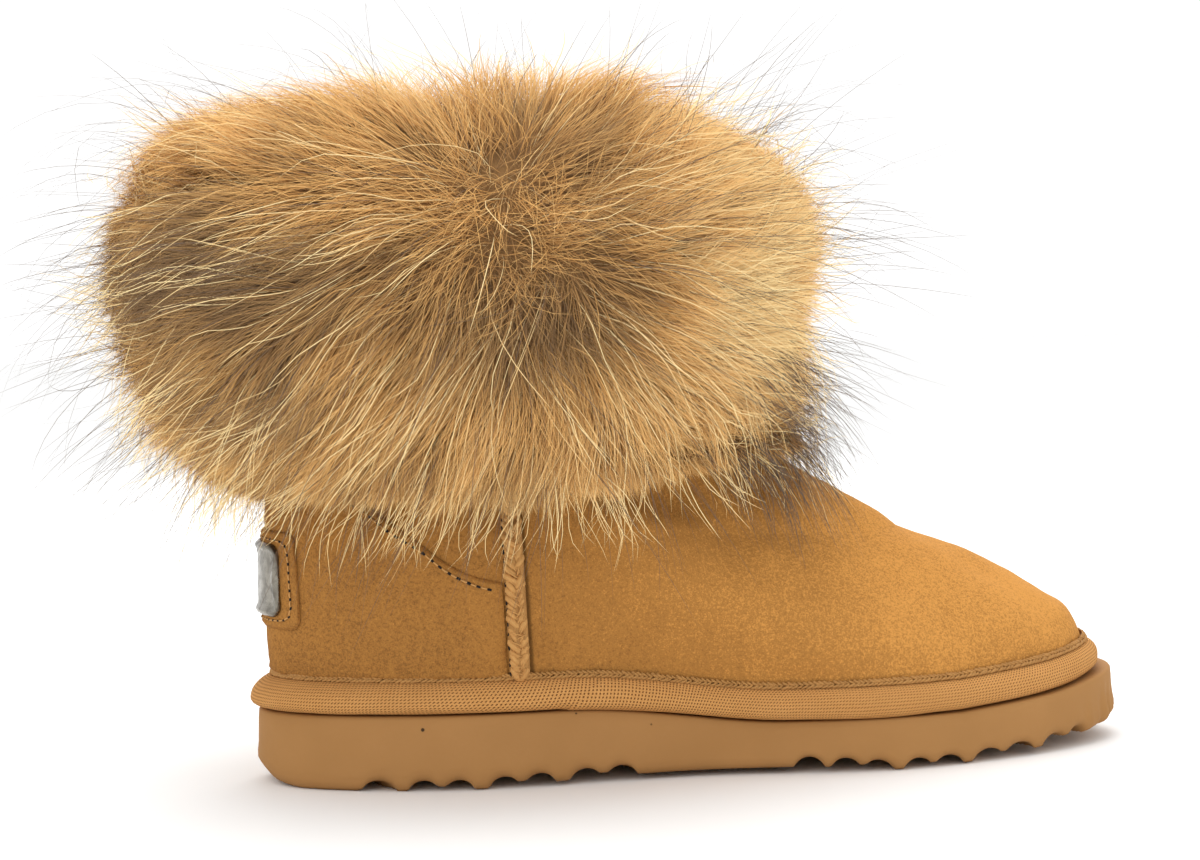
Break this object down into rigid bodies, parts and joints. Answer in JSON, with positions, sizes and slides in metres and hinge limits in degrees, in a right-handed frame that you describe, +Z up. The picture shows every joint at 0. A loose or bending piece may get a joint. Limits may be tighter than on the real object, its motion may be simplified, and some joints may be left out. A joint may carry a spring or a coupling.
{
  "type": "fur-trimmed mukluk boot",
  "caption": "Mid-calf soft boot for one foot, with a hollow suede upper, a deep fur cuff that hangs over the shaft, a taped seam, a heel counter and a lugged sole.",
  "frame": {"origin": "on the floor, under the middle of the heel", "axes": "+X towards the toe along the foot, +Y towards the inner side of this right shoe, +Z up"},
  "size_m": [0.3262, 0.2215, 0.2142],
  "materials": {
    "sole_foam": "matte foam",
    "woven_tape": "woven",
    "suede": "napped",
    "braid": "braided",
    "fleece": "soft pile",
    "fur": "long fur",
    "plate_metal": "aged"
  },
  "bodies": {
    "root": {"outsole": "sole_foam", "binding": "woven_tape", "upper": "suede", "insole": "fleece", "heel_counter": "suede", "side_seam_outer": "braid", "side_seam_inner": "braid", "heel_patch": "suede", "heel_plate": "plate_metal", "fur_cuff": "fur"}
  },
  "joints": []
}
